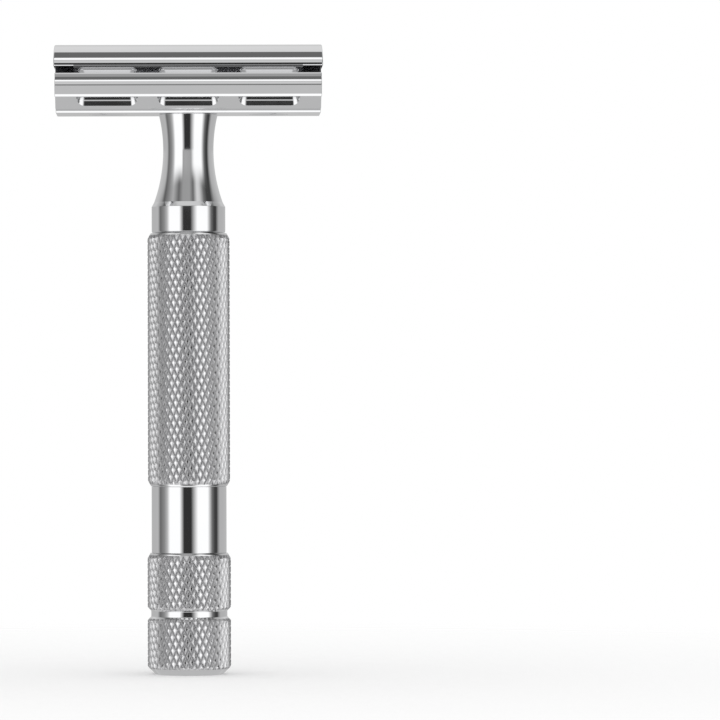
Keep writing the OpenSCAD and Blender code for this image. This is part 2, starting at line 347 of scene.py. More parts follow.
# %% Pull an outline out into a solid
def pull_out(name, outline, step):
    bpy.ops.object.select_all(action="DESELECT")
    bpy.ops.mesh.primitive_circle_add(vertices=len(outline), fill_type="NGON", location=(0, 0, 0))
    piece = bpy.context.object
    piece.name = name
    for vert, place in zip(piece.data.vertices, outline):
        vert.co = place
    bpy.ops.object.mode_set(mode="EDIT")
    bpy.ops.mesh.select_all(action="SELECT")
    bpy.ops.mesh.extrude_region_move(TRANSFORM_OT_translate={"value": step})
    bpy.ops.mesh.select_all(action="SELECT")
    bpy.ops.mesh.normals_make_consistent(inside=False)
    bpy.ops.object.mode_set(mode="OBJECT")
    return piece


def run_along_head(name, section, length):
    outline = [(-length / 2, y, mid_z + z) for y, z in section]
    return pull_out(name, outline, (length, 0, 0))


# %% Round the ends, cut holes and soften edges
def only_active(piece):
    bpy.ops.object.select_all(action="DESELECT")
    piece.select_set(True)
    bpy.context.view_layer.objects.active = piece


def pick_edges(piece, wanted):
    bpy.ops.object.mode_set(mode="EDIT")
    bpy.ops.mesh.select_mode(type="EDGE")
    bpy.ops.mesh.select_all(action="DESELECT")
    bpy.ops.object.mode_set(mode="OBJECT")
    for i in wanted:
        piece.data.edges[i].select = True
    bpy.ops.object.mode_set(mode="EDIT")


def round_ends(piece, radius):
    only_active(piece)
    verts = piece.data.vertices
    rims = []
    for edge in piece.data.edges:
        a, b = (verts[i].co.x for i in edge.vertices)
        if abs(a - b) < 0.001:
            rims.append(edge.index)
    pick_edges(piece, rims)
    bpy.ops.mesh.bevel(offset=radius, segments=4, affect="EDGES")
    bpy.ops.object.mode_set(mode="OBJECT")


def cut(piece, tool, operation="DIFFERENCE"):
    only_active(piece)
    boolean = piece.modifiers.new("cut", "BOOLEAN")
    boolean.operation = operation
    boolean.object = tool
    bpy.ops.object.modifier_apply(modifier=boolean.name)
    bpy.data.objects.remove(tool)


def join(pieces):
    bpy.ops.object.select_all(action="DESELECT")
    for piece in pieces:
        piece.select_set(True)
    bpy.context.view_layer.objects.active = pieces[0]
    bpy.ops.object.join()
    return pieces[0]


def soften_mouths(piece, radius, reach_x, reach_y):
    only_active(piece)
    bpy.ops.object.mode_set(mode="EDIT")
    bpy.ops.mesh.select_mode(type="EDGE")
    bpy.ops.mesh.select_all(action="SELECT")
    bpy.ops.mesh.remove_doubles(threshold=0.005)
    bpy.ops.mesh.select_all(action="DESELECT")
    bpy.ops.mesh.edges_select_sharp(sharpness=math.radians(40))
    bpy.ops.object.mode_set(mode="OBJECT")
    verts = piece.data.vertices
    mouths = []
    for edge in piece.data.edges:
        ends = [verts[i].co for i in edge.vertices]
        inside = all(abs(end.x) < reach_x and abs(end.y) < reach_y for end in ends)
        if edge.select and inside:
            mouths.append(edge.index)
    pick_edges(piece, mouths)
    bpy.ops.mesh.bevel(offset=radius, segments=2, affect="EDGES", clamp_overlap=True)
    bpy.ops.object.mode_set(mode="OBJECT")


# %% [markdown]
# Every piece ends the same way. It is shrunk to metres, shaded smooth up to a chosen angle,
# and its normals are weighted by face area, so that wide flats stay flat right up to their
# rounded edges. On a mirror finish that matters more than the number of faces. By then it has
# its finish. Last, it rides on the body that carries it, and its measured solid is hidden.


def coat(piece, finish):
    piece.data.materials.clear()
    piece.data.materials.append(finish)


def grind_ends(piece, length):
    piece.data.materials.append(ground_chrome)
    for face in piece.data.polygons:
        if abs(face.center.x) > length / 2 - 0.001:
            face.material_index = len(piece.data.materials) - 1


def finish_piece(piece, node, body, smooth_to=40):
    only_active(piece)
    bpy.ops.object.transform_apply(location=True)
    piece.scale = (0.001, 0.001, 0.001)
    bpy.ops.object.transform_apply(scale=True)
    bpy.ops.object.shade_smooth_by_angle(angle=math.radians(smooth_to))
    weigh = piece.modifiers.new("weigh", "WEIGHTED_NORMAL")
    weigh.keep_sharp = True
    bpy.ops.object.modifier_apply(modifier=weigh.name)
    piece.data.name = piece.name
    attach(piece, body)
    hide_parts(node)
    print(piece.name, "made of", len(piece.data.polygons), "faces")


# %% [markdown]
# ## The neck
# The neck is one turned piece: a straight collar over the end of the grip, a narrow bevel,
# and a long hollow curve to the waist that opens again under the plate. The curve is two arcs
# that meet at the waist. The profile starts inside, at the end of the rod's socket, goes round
# the outside and ends at the bottom of the threaded bore, so the piece is one closed solid.

# %% Turn the neck
collar_r = box_mm("neck")[1][0]
collar_top = grip_top + 4.3
bevel_top = collar_top + 0.75
bevel_r = collar_r - 0.4
waist_r = 4.1
waist_z = seat_z - 5.8
seat_r = 4.8
seat_edge = 0.12
socket_r = 3.03
socket_depth = 5.7
bore_r = 2.5
bore_depth = 9.2
bore_chamfer = 0.4


def hollow_curve(wide_r, wide_z, steps):
    rise = wide_z - waist_z
    out = wide_r - waist_r
    radius = (rise * rise + out * out) / (2 * out)
    points = []
    for i in range(1, steps + 1):
        z = waist_z + rise * i / steps
        points.append((waist_r + radius - math.sqrt(radius**2 - (z - waist_z) ** 2), z))
    return points


lower_curve = hollow_curve(bevel_r, bevel_top, 24)[::-1]
upper_curve = hollow_curve(seat_r, seat_z, 12)
outside = round_corners(
    [
        (socket_r, grip_top, 0),
        (collar_r, grip_top, 0.35),
        (collar_r, collar_top, 0.15),
        (*lower_curve[0], 0.12),
        (*lower_curve[1], 0),
    ],
    closed=False,
    steps=4,
)
profile = [(socket_r, grip_top + socket_depth), *outside, *lower_curve[2:]]
profile += [(waist_r, waist_z), *upper_curve[:-1]]
profile += [(seat_r - 0.02, seat_z - seat_edge), (seat_r - seat_edge, seat_z)]
profile += [(bore_r + bore_chamfer, seat_z), (bore_r, seat_z - bore_chamfer)]
profile += [(bore_r, seat_z - bore_depth)]
neck = turn_on_lathe("turned_neck", profile)
coat(neck, mirror_chrome)
finish_piece(neck, "neck", "handle")


# %% [markdown]
# ## The plain band
# Below the grip the handle is bare and polished for a finger's width. It is a short tube, so
# its profile closes on itself: up the outside, in over the top and down the bore.

# %% Turn the plain band
band_r = box_mm("plain_band")[1][0]
profile = round_corners(
    [
        (socket_r, pommel_top, 0),
        (band_r, pommel_top, 0.12),
        (band_r, band_top, 0.12),
        (socket_r, band_top, 0),
    ],
    steps=4,
)
band = turn_on_lathe("polished_band", profile + profile[:1], tube=True)
coat(band, mirror_chrome)
finish_piece(band, "plain_band", "handle")


# %% [markdown]
# ## The knurl
# A knurl is pressed into the metal by two wheels with slanted teeth, and leaves rows of small
# raised diamonds. A bump map could fake it, but it would vanish at the outline, so the diamonds
# are real. Each wheel cuts its own family of grooves that climb round the handle, and the two
# wheels seldom match: one leaves 42 grooves and the other 39. So every square of a flat grid
# becomes one diamond: its columns are laid along the grooves of one wheel and its rows along
# those of the other, and the last column closes on the first. Two insets raise each diamond,
# a wide one for its flanks and a tiny one round its flat top.

# %% Roll a net of diamonds into a sleeve
rising_starts = 42
rising_pitch = 2.43
falling_starts = 39
falling_pitch = 1.957
rising_lead = rising_starts * rising_pitch
falling_lead = falling_starts * falling_pitch
both_leads = rising_lead + falling_lead
drop_per_column = rising_pitch * falling_lead / both_leads
rise_per_row = falling_pitch * rising_lead / both_leads
flank_run = 0.3
top_run = 0.03
top_rise = 0.02


def roll_net(name, crest, low_z, high_z):
    root_r = crest - knurl_depth
    first_row = math.floor(low_z / rise_per_row) - 3
    last_row = math.ceil((high_z + rising_starts * drop_per_column) / rise_per_row) + 3
    rows = last_row - first_row
    bpy.ops.object.select_all(action="DESELECT")
    bpy.ops.mesh.primitive_grid_add(
        x_subdivisions=rising_starts, y_subdivisions=rows, size=1, location=(0, 0, 0)
    )
    sleeve = bpy.context.object
    sleeve.name = name
    for vert in sleeve.data.vertices:
        column = (vert.co.x + 0.5) * rising_starts
        row = first_row + (vert.co.y + 0.5) * rows
        turn = (column * rising_pitch + row * falling_pitch) / both_leads
        angle = turn * math.tau
        height = row * rise_per_row - column * drop_per_column
        vert.co = (root_r * math.sin(angle), -root_r * math.cos(angle), height)
    bpy.ops.object.mode_set(mode="EDIT")
    bpy.ops.mesh.select_all(action="SELECT")
    bpy.ops.mesh.remove_doubles(threshold=0.01)
    bpy.ops.mesh.normals_make_consistent(inside=False)
    bpy.ops.mesh.select_mode(type="FACE")
    bpy.ops.mesh.inset(thickness=flank_run, depth=knurl_depth - top_rise, use_individual=True)
    bpy.ops.mesh.inset(thickness=top_run, depth=top_rise, use_individual=True)
    bpy.ops.object.mode_set(mode="OBJECT")
    return sleeve


# %% Trim a knurled sleeve to its ends and close it
sunk_below = 0.03
sleeve_wall = 0.6


def sunk(crest):
    return crest - knurl_depth - sunk_below


def trim_sleeve(sleeve, crest, low_z, high_z, low_slope, high_slope):
    sunk_r = sunk(crest)
    rise = crest - sunk_r
    cuts = [(low_z, False, True), (high_z, True, False)]
    cuts += [(low_z + rise / low_slope, False, False), (high_z - rise / high_slope, False, False)]
    bpy.ops.object.mode_set(mode="EDIT")
    for z, above, below in cuts:
        bpy.ops.mesh.select_all(action="SELECT")
        bpy.ops.mesh.bisect(
            plane_co=(0, 0, z), plane_no=(0, 0, 1), clear_outer=above, clear_inner=below
        )
    bpy.ops.object.mode_set(mode="OBJECT")
    turned_down = set()
    for vert in sleeve.data.vertices:
        here = math.hypot(vert.co.x, vert.co.y)
        from_low = sunk_r + (vert.co.z - low_z) * low_slope
        from_high = sunk_r + (high_z - vert.co.z) * high_slope
        limit = min(crest, from_low, from_high)
        if here > limit:
            vert.co.x *= limit / here
            vert.co.y *= limit / here
            turned_down.add(vert.index)
    for face in sleeve.data.polygons:
        if turned_down.issuperset(face.vertices):
            face.material_index = 1
    bpy.ops.object.mode_set(mode="EDIT")
    bpy.ops.mesh.select_mode(type="EDGE")
    bpy.ops.mesh.select_all(action="DESELECT")
    bpy.ops.mesh.select_non_manifold(extend=False)
    bpy.ops.mesh.extrude_region_move(TRANSFORM_OT_translate={"value": (0, 0, 0)})
    inward = (sunk_r - sleeve_wall) / sunk_r
    bpy.ops.transform.resize(value=(inward, inward, 1), center_override=(0, 0, 0))
    bpy.ops.mesh.bridge_edge_loops()
    bpy.ops.mesh.select_all(action="SELECT")
    bpy.ops.mesh.normals_make_consistent(inside=False)
    bpy.ops.object.mode_set(mode="OBJECT")


def knurl(name, crest, finish, low_z, high_z, low_slope, high_slope):
    sleeve = roll_net(name, crest, low_z, high_z)
    coat(sleeve, finish)
    sleeve.data.materials.append(mirror_chrome)
    trim_sleeve(sleeve, crest, low_z, high_z, low_slope, high_slope)
    return sleeve


# %% [markdown]
# ## The grip
# The grip is a plain tube with chamfered ends that carries one long knurled sleeve. The sleeve
# starts where the chamfers have climbed to the bottom of the valleys. The chamfers were turned
# after the knurl was rolled, so they are mirror bright where they cut the diamonds.

# %% Make the grip
end_cut = 0.5
end_slope = 0.55
step_in = (end_cut - knurl_depth - sunk_below) / end_slope
profile = [
    (socket_r, band_top),
    (grip_r - end_cut, band_top),
    (sunk(grip_r), band_top + step_in),
    (sunk(grip_r), grip_top - step_in),
    (grip_r - end_cut, grip_top),
    (socket_r, grip_top),
]
tube = turn_on_lathe("knurled_grip", profile + profile[:1], tube=True)
coat(tube, mirror_chrome)
ends = (band_top + step_in, grip_top - step_in)
sleeve = knurl("grip_knurl", grip_r, grip_chrome, *ends, end_slope, end_slope)
grip = join([tube, sleeve])
finish_piece(grip, "grip_sleeve", "handle", smooth_to=30)


# %% [markdown]
# ## The pommel
# The pommel has the same knurl in two lengths, with a polished groove between them and a broad
# chamfer round its flat foot. The turned body carries the groove and the foot, and the two
# sleeves sit on it. Each sleeve runs out along the slope that it meets.

# %% Make the pommel
sunk_r = sunk(pommel_r)
foot_r = pommel_r - 1.3
foot_slope = 1.0
rod_depth = 8.2
groove_z = pommel_top / 2
groove_depth = 0.6
groove_run = 0.65
groove_half = 0.45
groove_r = pommel_r - groove_depth
groove_slope = groove_depth / groove_run
flank = (sunk_r - groove_r) / groove_slope
groove_low = groove_z - groove_half - flank
groove_high = groove_z + groove_half + flank
foot_top = (sunk_r - foot_r) / foot_slope
profile = round_corners(
    [
        (socket_r, pommel_top - rod_depth, 0),
        (socket_r, pommel_top, 0),
        (pommel_r - end_cut, pommel_top, 0),
        (sunk_r, pommel_top - step_in, 0),
        (sunk_r, groove_high, 0),
        (groove_r, groove_z + groove_half, 0.15),
        (groove_r, groove_z - groove_half, 0.15),
        (sunk_r, groove_low, 0),
        (sunk_r, foot_top, 0),
        (foot_r, 0, 0.15),
        (foot_r - 1.0, 0, 0),
    ],
    closed=False,
    steps=4,
)
body = turn_on_lathe("knurled_pommel", profile)
coat(body, mirror_chrome)
rolled = (pommel_r, pommel_chrome)
upper = knurl("upper_knurl", *rolled, groove_high, pommel_top - step_in, groove_slope, end_slope)
lower = knurl("lower_knurl", *rolled, foot_top, groove_low, foot_slope, groove_slope)
pommel = join([body, upper, lower])
finish_piece(pommel, "pommel", "handle", smooth_to=30)


# %% [markdown]
# ## The base plate
# The plate is the same from end to end, so its section says almost everything: a flat spine,
# a ledge and a valley on each side, and the two safety bars. A bar has a low bead on top, a
# round face under it and a flat lower face that leans in. The section is drawn for one side,
# mirrored, and pulled out along the head.

# %% Draw and pull out the plate
plate_high = box_mm("base_plate")[1]
plate_len = 2 * plate_high[0]
half_t = plate_high[2] - mid_z
bar_y = plate_high[1]
bar_r = 3.1
bar_turn = 22.0
bead_foot = 1.35
bead_r = 2.1
bead_top = 29.0
bead_end = 10
spine_y = 5.05
spine_lean = 0.28
ledge_y = 7.1
crease_y = 9.1
crease_h = 1.35
ledge_h = half_t - 0.4
shoulder_h = ledge_h - 0.2
lean = (bar_y - 0.515, -1.5)
heel = (bar_y - 0.78, -1.94)

bar_centre_y = bar_y - bar_r * math.cos(math.radians(bar_turn))
bar_centre_z = -bar_r * math.sin(math.radians(bar_turn))
foot_turn = math.degrees(math.asin((bead_foot - bar_centre_z) / bar_r))
bar_face = arc((bar_centre_y, bar_centre_z), bar_r, foot_turn, bar_turn, 12)[:-1]
bead_centre_y = bar_face[0][0] - bead_r * math.cos(math.radians(bead_end))
bead_centre_z = bead_foot - bead_r * math.sin(math.radians(bead_end))
bead = arc((bead_centre_y, bead_centre_z), bead_r, bead_top, bead_end, 8)[:-1]
one_side = [
    (spine_y - spine_lean, half_t, 0.2),
    (spine_y, ledge_h, 0.12),
    (ledge_y, shoulder_h, 0.3),
    (crease_y, crease_h, 0.3),
    *bead,
    *bar_face,
    (bar_y, 0, 0.3),
    (*lean, 0.5),
    (*heel, 0.2),
    (crease_y, -crease_h, 0.3),
    (ledge_y, -shoulder_h, 0.3),
    (spine_y, -ledge_h, 0.12),
    (spine_y - spine_lean, -half_t, 0.2),
]
other_side = [(-y, z, r) for y, z, r in reversed(one_side)]
section = round_corners(one_side + other_side, steps=5)
plate = run_along_head("slotted_plate", section, plate_len)
round_ends(plate, 0.1)
print("plate section of", len(section), "points")


# %% [markdown]
# Three slots on each side let the lather through, and three round holes take the stud and the
# posts. A cast slot is a little wider at both faces than in the middle, so that it leaves its
# mould, so each slot cutter is bisected at several levels and every level is opened or closed
# by its own small amount. All nine cutters are joined and taken away in one boolean cut. A
# small bevel along the new edges then catches the light, as the polished edges of a slot do.

# %% Cut the slots and the holes
post_x = (box_mm("post_right")[0][0] + box_mm("post_right")[1][0]) / 2
slot_len = 10.2
slot_w = 3.2
slot_r = 1.5
slot_steps = [(-5.2, 0.03), (-2.3, 0.0), (-2.1, -0.07)]
slot_steps += [(0, -0.11), (2.15, -0.11), (2.78, 0.15)]
hole_r = 2.75
hole_chamfer = 0.5
over_cut = 1
mouth_reach_x = 20
mouth_reach_y = 11.3


def slot_opening(z):
    passed = [opening for level, opening in slot_steps if level < z + 0.001]
    return passed[-1]


def slot_cutter(x, y):
    ring = []
    for sx, sy in ((1, 1), (-1, 1), (-1, -1), (1, -1)):
        ring.append((x + sx * slot_len / 2, y + sy * slot_w / 2, slot_r))
    outline = [(a, b, seat_z - over_cut) for a, b in round_corners(ring, steps=8)]
    tool = pull_out("slot_cutter", outline, (0, 0, 2 * half_t + 2 * over_cut))
    bpy.ops.object.mode_set(mode="EDIT")
    for level, _ in slot_steps[1:]:
        bpy.ops.mesh.select_all(action="SELECT")
        bpy.ops.mesh.bisect(plane_co=(0, 0, mid_z + level), plane_no=(0, 0, 1))
    bpy.ops.object.mode_set(mode="OBJECT")
    for vert in tool.data.vertices:
        open_by = slot_opening(vert.co.z - mid_z)
        vert.co.x += (vert.co.x - x) * 2 * open_by / slot_len
        vert.co.y += (vert.co.y - y) * 2 * open_by / slot_w
    return tool


def hole_cutter(x):
    profile = [
        (hole_r + hole_chamfer + over_cut, seat_z - over_cut),
        (hole_r, seat_z + hole_chamfer),
        (hole_r, plate_top - hole_chamfer),
        (hole_r + hole_chamfer + over_cut, plate_top + over_cut),
    ]
    tool = turn_on_lathe("hole_cutter", profile, corners=96)
    tool.location.x = x
    bpy.ops.object.transform_apply(location=True)
    return tool


cutters = [slot_cutter(x, y) for x in (-post_x, 0, post_x) for y in (-crease_y, crease_y)]
cutters += [hole_cutter(x) for x in (-post_x, 0, post_x)]
cut(plate, join(cutters))
soften_mouths(plate, 0.06, mouth_reach_x, mouth_reach_y)
coat(plate, mirror_chrome)
plate.data.materials.append(satin_shaded_chrome)
# The upward faces of the valleys get the mid grey: painted shade under the blade and the cap.
facing_up = 0.5
for face in plate.data.polygons:
    in_valley = spine_y < abs(face.center.y) < crease_y and face.center.z > mid_z
    if in_valley and face.normal.z > facing_up:
        face.material_index = 1
grind_ends(plate, plate_len)
finish_piece(plate, "base_plate", "base_plate", smooth_to=16)


# %% [markdown]
# ## The cap
# The cap is a shallow dome in section: a wide crown arc that runs without a break into a
# tighter arc towards each long edge, a narrow upright lip, and an underside hollowed to the
# bend of the blade. The second arc starts where the first one stops, with the same slope,
# because a break in slope shows at once in a mirror. The section is drawn for one side,
# mirrored, pulled out along the head, and the two ends are rounded over.

# %% Make the cap
cap_high = box_mm("cap")[1]
cap_len = 2 * cap_high[0]
crown_top = cap_high[2] - mid_z
crown_arcs = [(21.7, 22, 20), (3.9, 65, 24)]
bend_r = 40.0
rest_y = spine_y - 0.4
rest_gap = 0.05
bend_z = half_t + bend_r - math.sqrt(bend_r**2 - rest_y**2) + rest_gap - bend_r
under_r = bend_r + 0.15
lip_in = 0.11
lip_lean = 0.02
lip_chamfer = 0.17
hem_drop = 0.05


def follow_arcs(y, z, arcs):
    points = []
    slope = 0
    for radius, last_slope, steps in arcs:
        turn = math.radians(slope)
        centre = (y - radius * math.sin(turn), z - radius * math.cos(turn))
        points += arc(centre, radius, 90 - slope, 90 - last_slope, steps)[1:]
        y, z = points[-1][:2]
        slope = last_slope
    return points


half_crown = follow_arcs(0, crown_top, crown_arcs)
lip_y, lip_z = half_crown.pop()[:2]
hem_y = lip_y - lip_in
hem_z = bend_z + math.sqrt(under_r**2 - hem_y**2) - hem_drop
under_angle = math.degrees(math.asin(hem_y / under_r))
under = arc((0, bend_z), under_r, 90 - under_angle, 90, 12)[1:-1]
lip = [
    (lip_y, lip_z, 0.05),
    (lip_y - lip_lean, hem_z + lip_chamfer, 0.03),
    (hem_y, hem_z, 0.03),
]
right_half = [*half_crown, *lip, *under]
left_half = [(-y, z, r) for y, z, r in reversed(right_half)]
ring = [(0, crown_top, 0), *right_half, (0, bend_z + under_r, 0), *left_half]
section = round_corners(ring, steps=3)
cap = run_along_head("crowned_cap", section, cap_len)
round_ends(cap, 0.2)
print("cap section of", len(section), "points")


# %% Sink the seats of the stud and the posts
stud_r = box_mm("cap_stud")[1][0]
set_z = box_mm("cap_stud")[1][2]
seat_gap = 0.03
seat_room = 0.2


def seat_cutter(x):
    profile = [(stud_r + seat_gap, mid_z), (stud_r + seat_gap, set_z + seat_room)]
    tool = turn_on_lathe("seat_cutter", profile, corners=64)
    tool.location.x = x
    bpy.ops.object.transform_apply(location=True)
    return tool


cut(cap, join([seat_cutter(x) for x in (-post_x, 0, post_x)]))
coat(cap, mirror_chrome)
cap.data.materials.append(dull_shaded_chrome)
# Faces turned down get the dark grey: painted shade under the cap.
facing_down = -0.6
for face in cap.data.polygons:
    if face.normal.z < facing_down:
        face.material_index = 1
grind_ends(cap, cap_len)
finish_piece(cap, "cap", "cap", smooth_to=16)


# %% [markdown]
# ## The blade
# The blade is a tenth of a millimetre thick and bent round the spine of the plate. Its section
# is a thin arc that tapers to nothing over the last half millimetre on each side: that is the
# grind. The strip is pulled out a little too long, and a flat outline with the end tabs trims
# it. The long cut-out with its lobes is drawn for a quarter, mirrored twice, and cut through.

# %% Bend the blade
blade_len = 2 * box_mm("blade")[1][0]
blade_t = 0.1
grind = 0.5
spare_len = 1
half_angle = math.degrees(math.asin(edge_y / bend_r))
grind_angle = math.degrees(grind / bend_r)

front = 90 + half_angle - grind_angle
back = 90 - half_angle + grind_angle
top = arc((0, bend_z), bend_r + blade_t, front, back, 41)
low = arc((0, bend_z), bend_r, back, front, 41)
tip = arc((0, bend_z), bend_r + blade_t / 2, 90 - half_angle, 90 + half_angle, 1)
section = [(y, z) for y, z, r in top + tip[:1] + low + tip[1:]]
blade = run_along_head("bent_blade", section, blade_len + spare_len)
print("blade section of", len(section), "points")


# %% Trim the blade and cut it out
tab_len = 3
tab_half = 6.3
edge_half = blade_len / 2 - tab_len
corner = [
    (blade_len / 2, tab_half, 1.8),
    (edge_half, tab_half, 0.3),
    (edge_half, edge_y + 1, 0),
]
slit = 1.05
lobe = 2.95
lobe_half = 0.65
end_lobe = 1.6
stud_room = stud_r + 0.12
post_room = stud_room * math.sqrt(2)
inner_x = post_x - 4.9
cutout_end = blade_len / 2 - 3.5
mouth = math.degrees(math.asin(slit / stud_room))
quarter = arc((0, 0), stud_room, 90, mouth, 10)
quarter += [(inner_x - lobe_half, slit, 0), (inner_x - lobe_half, lobe, 0.2)]
quarter += [(inner_x + lobe_half, lobe, 0.2), (inner_x + lobe_half, slit, 0)]
quarter += [(post_x - post_room + slit, slit, 0), (post_x - post_room + lobe, lobe, 0)]
quarter += [(post_x + post_room - lobe, lobe, 0), (post_x + post_room - slit, slit, 0)]
quarter += [(cutout_end - end_lobe, slit, 0), (cutout_end - end_lobe, lobe, 0.2)]
quarter += [(cutout_end, lobe, 0.4)]


def four_ways(path):
    half = path + [(x, -y, r) for x, y, r in reversed(path)]
    return half + [(-x, y, r) for x, y, r in reversed(half)]


def through_blade(name, path):
    ring = []
    for x, y in round_corners(path, steps=5):
        if not ring or math.dist(ring[-1][:2], (x, y)) > 0.001:
            ring.append((x, y, seat_z))
    if math.dist(ring[0][:2], ring[-1][:2]) < 0.001:
        ring.pop()
    return pull_out(name, ring, (0, 0, 2 * half_t + 4))


outline = through_blade("blade_outline", four_ways(corner[::-1]))
cut(blade, outline, "INTERSECT")
cut(blade, through_blade("blade_cutout", four_ways(quarter)))
bpy.ops.object.mode_set(mode="EDIT")
bpy.ops.mesh.select_all(action="SELECT")
bpy.ops.mesh.remove_doubles(threshold=0.002)
bpy.ops.mesh.dissolve_degenerate(threshold=0.002)
bpy.ops.object.mode_set(mode="OBJECT")
coat(blade, rolled_steel)
finish_piece(blade, "blade", "blade", smooth_to=25)


# %% [markdown]
# ## The stud
# The stud is what holds the razor together, so its thread is cut for real. One pitch of the
# thread's profile is swept round the axis by a Screw modifier that climbs one pitch a turn, and
# the turns join into one long tube. Two bisect cuts square off its ends, the tip is chamfered,
# and a plain shank joins it to the cap.

# %% Cut the thread
stud_tip = box_mm("cap_stud")[0][2]
pitch = 0.8
thread_top = plate_top - 1.4
thread_root = stud_r - 0.45
turns = math.ceil((thread_top - stud_tip) / pitch) + 2
tooth = [(thread_root, 0), (thread_root, 0.1), (stud_r, 0.36), (stud_r, 0.46)]
tooth += [(thread_root, 0.72), (thread_root, pitch)]

bpy.ops.object.select_all(action="DESELECT")
bpy.ops.mesh.primitive_circle_add(vertices=len(tooth), location=(0, 0, 0))
stud = bpy.context.object
stud.name = "threaded_stud"
for vert, (r, z) in zip(stud.data.vertices, tooth):
    vert.co = (r, 0, stud_tip - 1.5 * pitch + z)
closing = {0, len(tooth) - 1}
pick_edges(stud, [edge.index for edge in stud.data.edges if set(edge.vertices) == closing])
bpy.ops.mesh.delete(type="EDGE_FACE")
bpy.ops.object.mode_set(mode="OBJECT")
screw = stud.modifiers.new("thread", "SCREW")
screw.steps = 48
screw.render_steps = 48
screw.screw_offset = pitch
screw.iterations = turns
bpy.ops.object.modifier_apply(modifier=screw.name)
print("thread of", turns, "turns")


# %% Square off the thread and add the shank
tip_cut = 0.5
shank_chamfer = 0.2
bpy.ops.object.mode_set(mode="EDIT")
bpy.ops.mesh.select_all(action="SELECT")
bpy.ops.mesh.remove_doubles(threshold=0.001)
bpy.ops.mesh.bisect(
    plane_co=(0, 0, stud_tip), plane_no=(0, 0, 1), use_fill=True, clear_inner=True
)
bpy.ops.mesh.select_all(action="SELECT")
bpy.ops.mesh.bisect(
    plane_co=(0, 0, thread_top), plane_no=(0, 0, 1), use_fill=True, clear_outer=True
)
bpy.ops.mesh.select_all(action="SELECT")
bpy.ops.mesh.normals_make_consistent(inside=False)
bpy.ops.object.mode_set(mode="OBJECT")
for vert in stud.data.vertices:
    here = math.hypot(vert.co.x, vert.co.y)
    limit = stud_r - tip_cut + vert.co.z - stud_tip
    if here > limit:
        vert.co.x *= limit / here
        vert.co.y *= limit / here
profile = [(thread_root, thread_top - 0.4), (stud_r, thread_top - 0.05)]
profile += [(stud_r, set_z - shank_chamfer), (stud_r - shank_chamfer, set_z)]
shank = turn_on_lathe("shank", profile, corners=72)
stud = join([stud, shank])
coat(stud, turned_steel)
finish_piece(stud, "cap_stud", "cap", smooth_to=30)


# %% [markdown]
# ## The posts
# Two plain posts beside the stud line up the blade and the plate. One is turned with a rounded
# tip, and the other is a copy with its own mesh.

# %% Turn the posts
post_tip = box_mm("post_left")[0][2]
profile = round_corners(
    [
        (stud_r - 0.8, post_tip, 0),
        (stud_r - tip_cut, post_tip, 0.15),
        (stud_r, post_tip + tip_cut, 0.3),
        (stud_r, set_z, 0.15),
        (stud_r - 0.5, set_z, 0),
    ],
    closed=False,
)
right_post = turn_on_lathe("right_post", profile, corners=96)
left_post = right_post.copy()
left_post.data = right_post.data.copy()
left_post.name = "left_post"
bpy.context.collection.objects.link(left_post)
right_post.location.x = post_x
left_post.location.x = -post_x
coat(right_post, turned_steel)
coat(left_post, turned_steel)
finish_piece(right_post, "post_right", "cap")
finish_piece(left_post, "post_left", "cap")


# %% [markdown]
# ## The floor
# The razor stands on a plain white floor. The floor fades out a little way from the razor, so
# that no edge or horizon shows, and it keeps the soft shadow round the foot. Mirrors would
# show that fading disc as a stain, so reflections look past it to the room.

# %% Lay the floor
bpy.ops.object.select_all(action="DESELECT")
bpy.ops.mesh.primitive_circle_add(vertices=96, radius=0.4, fill_type="NGON", location=(0, 0, 0))
floor = bpy.context.object
floor.name = "white_floor"
floor.visible_glossy = False
white_floor = bpy.data.materials.new("white_floor")
white_floor.use_nodes = True
white_floor.node_tree.nodes.clear()
out = add_node(white_floor, "ShaderNodeOutputMaterial")
fade = add_node(white_floor, "ShaderNodeMixShader")
paint = add_node(white_floor, "ShaderNodeBsdfDiffuse")
paint.inputs["Color"].default_value = (0.96, 0.96, 0.96, 1)
clear = add_node(white_floor, "ShaderNodeBsdfTransparent")
place = add_node(white_floor, "ShaderNodeTexCoord")
away = add_node(white_floor, "ShaderNodeVectorMath", operation="LENGTH")
join_sockets(white_floor, place.outputs["Object"], away.inputs[0])
fade_start = 0.05
fade_stop = 0.2
faded = spread(white_floor, away.outputs["Value"], 0.0, 1.0, fade_start, fade_stop)
join_sockets(white_floor, faded, fade.inputs[0])
join_sockets(white_floor, paint.outputs[0], fade.inputs[1])
join_sockets(white_floor, clear.outputs[0], fade.inputs[2])
join_sockets(white_floor, fade.outputs[0], out.inputs[0])
floor.data.materials.append(white_floor)
floor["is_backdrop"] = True
print("floor laid")


# %% [markdown]
# ## The studio
# Chrome looks like chrome only when there is something to reflect. Round a photographed razor
# stand two tall white light boxes in front, left and right, a black card between them where
# the camera is, dark edges beyond them, and grey walls and ceiling. The world paints that room
# by direction: a belt of greys round the horizon, a second belt above it, and an arch of greys
# from the front over the top to the back. Only reflections see it. The camera sees white, and
# plain surfaces get an even soft light.

# %% Paint the room by direction
world = bpy.data.worlds.new("studio")
bpy.context.scene.world = world
world.use_nodes = True
world.cycles.sampling_method = "NONE"
tree = world.node_tree
tree.nodes.clear()


def room_math(operation, a, b=None):
    node = add_node(world, "ShaderNodeMath", operation=operation)
    tree.links.new(a, node.inputs[0])
    if b is not None:
        tree.links.new(b, node.inputs[1])
    return node.outputs[0]


def room_span(source, start, stop):
    node = add_node(world, "ShaderNodeMapRange", interpolation_type="SMOOTHSTEP")
    node.inputs["From Min"].default_value = math.radians(start)
    node.inputs["From Max"].default_value = math.radians(stop)
    tree.links.new(source, node.inputs["Value"])
    return node.outputs[0]


